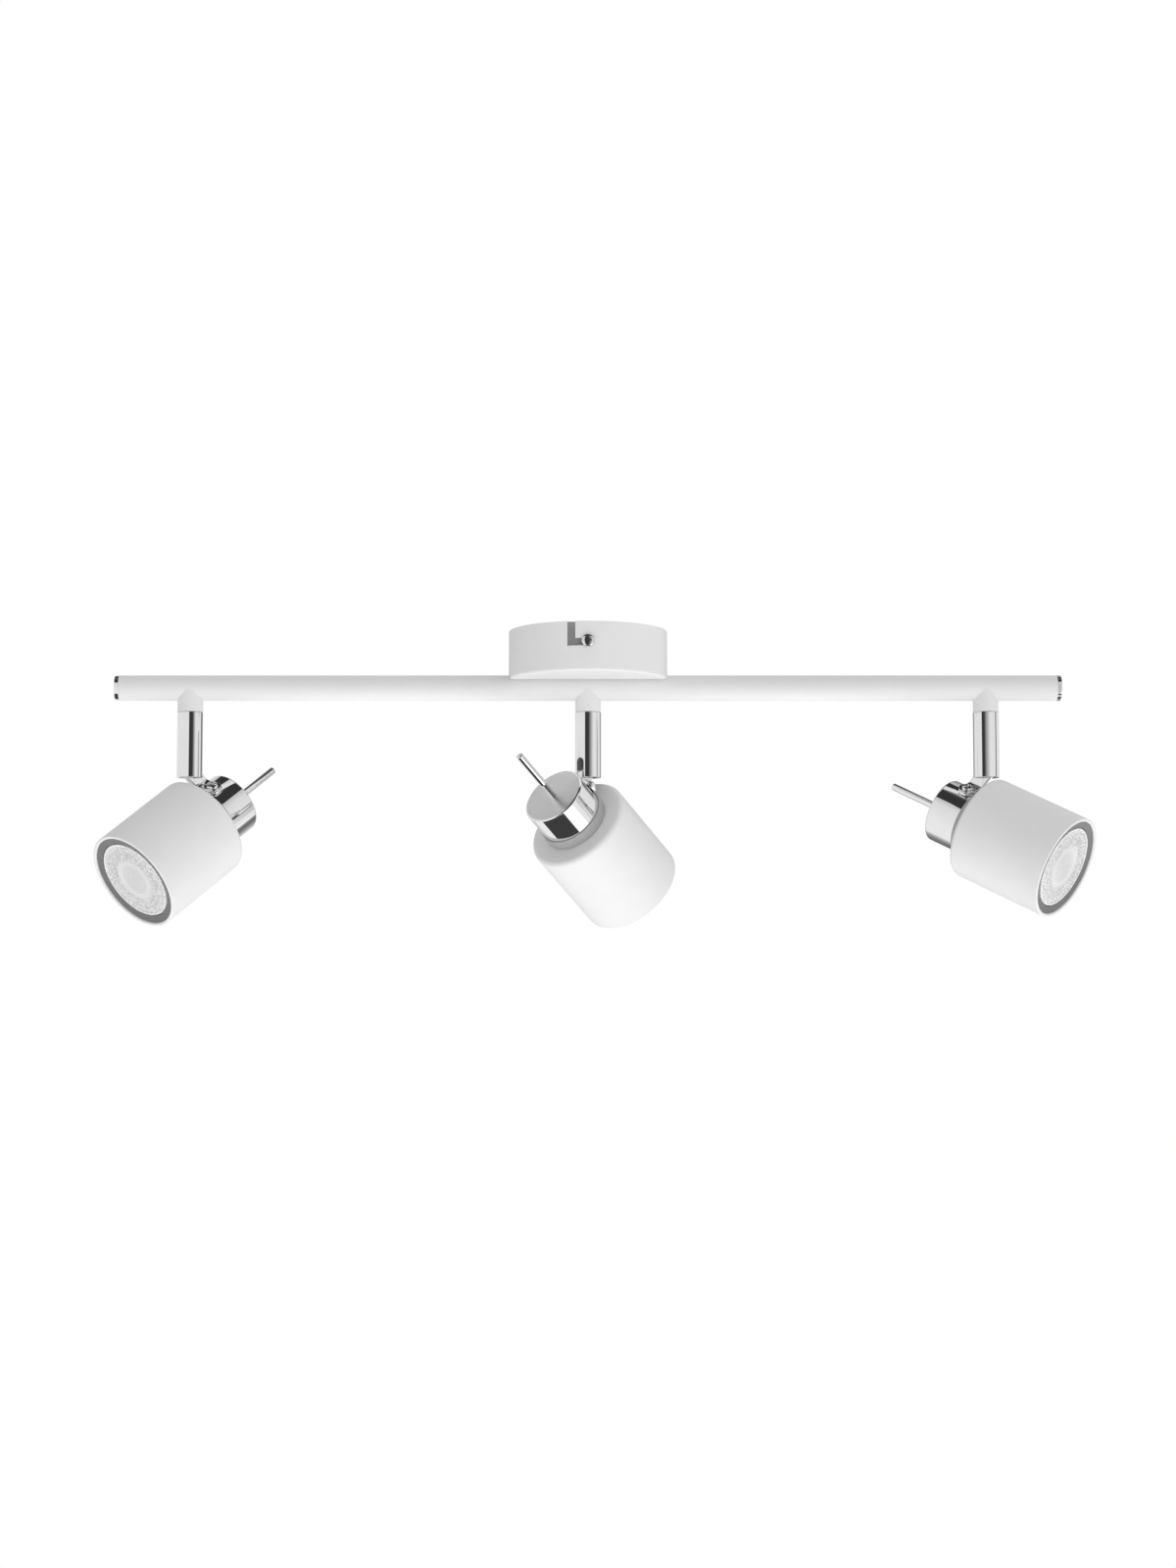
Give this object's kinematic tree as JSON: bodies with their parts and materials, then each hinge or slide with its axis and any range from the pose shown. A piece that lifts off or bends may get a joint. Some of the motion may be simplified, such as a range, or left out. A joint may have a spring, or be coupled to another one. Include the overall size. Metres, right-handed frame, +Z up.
{
  "type": "ceiling spotlight bar",
  "caption": "Ceiling spotlight bar: a round canopy carries a straight tube with swivelling stems and tilting cylindrical spot heads aimed by rear handle rods.",
  "frame": {"origin": "centre of the mounting strip's ceiling screw pattern, on the ceiling plane", "axes": "+X along the bar, +Z up into the ceiling, -Y towards the front"},
  "size_m": [0.5656, 0.1045, 0.1687],
  "materials": {
    "white_paint": "satin powder coat",
    "chrome": "polished plate",
    "zinc_steel": "bright zinc plate",
    "grey_metal": "satin grey",
    "brass": "machined",
    "white_plastic": "moulded",
    "black_rubber": "moulded",
    "wire_sleeve": "extruded sleeve",
    "ceramic": "glazed ceramic",
    "lamp_plastic": "moulded",
    "lens_clear": "clear, fine pebbled"
  },
  "bodies": {
    "bar_frame": {"canopy": "white_paint", "mounting_strip": "zinc_steel", "canopy_side_screws": "zinc_steel", "earth_screw": "brass", "terminal_block": "white_plastic", "terminal_screws": "brass", "wire_grommet": "black_rubber", "bar_tube": "white_paint", "bar_end_caps": "chrome", "bar_fixing_screws": "zinc_steel", "bar_rivet_nuts": "zinc_steel", "bar_wires": "wire_sleeve", "stem_socket_left": "white_paint", "stem_socket_centre": "white_paint", "stem_socket_right": "white_paint"},
    "stem_left": {"stem_tube_left": "chrome", "swivel_nipple_left": "brass", "swivel_nut_left": "brass", "hinge_yoke_left": "zinc_steel", "hinge_pin_left": "zinc_steel"},
    "head_left": {"hinge_bracket_left": "chrome", "bracket_fixings_left": "chrome", "lampholder_cup_left": "chrome", "handle_rod_left": "chrome", "shade_left": "white_paint", "shade_rings_left": "grey_metal", "lampholder_left": "ceramic", "lamp_housing_left": "lamp_plastic", "lamp_lens_left": "lens_clear", "lamp_ring_left": "grey_metal"},
    "stem_centre": {"stem_tube_centre": "chrome", "swivel_nipple_centre": "brass", "swivel_nut_centre": "brass", "hinge_yoke_centre": "zinc_steel", "hinge_pin_centre": "zinc_steel"},
    "head_centre": {"hinge_bracket_centre": "chrome", "bracket_fixings_centre": "chrome", "lampholder_cup_centre": "chrome", "handle_rod_centre": "chrome", "shade_centre": "white_paint", "shade_rings_centre": "grey_metal", "lampholder_centre": "ceramic", "lamp_housing_centre": "lamp_plastic", "lamp_lens_centre": "lens_clear", "lamp_ring_centre": "grey_metal"},
    "stem_right": {"stem_tube_right": "chrome", "swivel_nipple_right": "brass", "swivel_nut_right": "brass", "hinge_yoke_right": "zinc_steel", "hinge_pin_right": "zinc_steel"},
    "head_right": {"hinge_bracket_right": "chrome", "bracket_fixings_right": "chrome", "lampholder_cup_right": "chrome", "handle_rod_right": "chrome", "shade_right": "white_paint", "shade_rings_right": "grey_metal", "lampholder_right": "ceramic", "lamp_housing_right": "lamp_plastic", "lamp_lens_right": "lens_clear", "lamp_ring_right": "grey_metal"}
  },
  "joints": [
    {"name": "swivel_left", "type": "hinge", "parent": "bar_frame", "child": "stem_left", "pos_m": [-0.227, 0, -0.0464], "axis": [0, 0, 1], "range_deg": [-117, 211]},
    {"name": "tilt_left", "type": "hinge", "parent": "stem_left", "child": "head_left", "pos_m": [-0.227, 0, -0.08], "axis": [0.682, -0.7314, 0], "range_deg": [-35.5, 54.5]},
    {"name": "swivel_centre", "type": "hinge", "parent": "bar_frame", "child": "stem_centre", "pos_m": [0, 0, -0.0464], "axis": [0, 0, 1], "range_deg": [-304, 24]},
    {"name": "tilt_centre", "type": "hinge", "parent": "stem_centre", "child": "head_centre", "pos_m": [0, 0, -0.08], "axis": [-0.766, 0.6428, 0], "range_deg": [-35, 55]},
    {"name": "swivel_right", "type": "hinge", "parent": "bar_frame", "child": "stem_right", "pos_m": [0.227, 0, -0.0464], "axis": [0, 0, 1], "range_deg": [-221.5, 106.5]},
    {"name": "tilt_right", "type": "hinge", "parent": "stem_right", "child": "head_right", "pos_m": [0.227, 0, -0.08], "axis": [0.5373, 0.8434, 0], "range_deg": [-25.5, 64.5]}
  ]
}
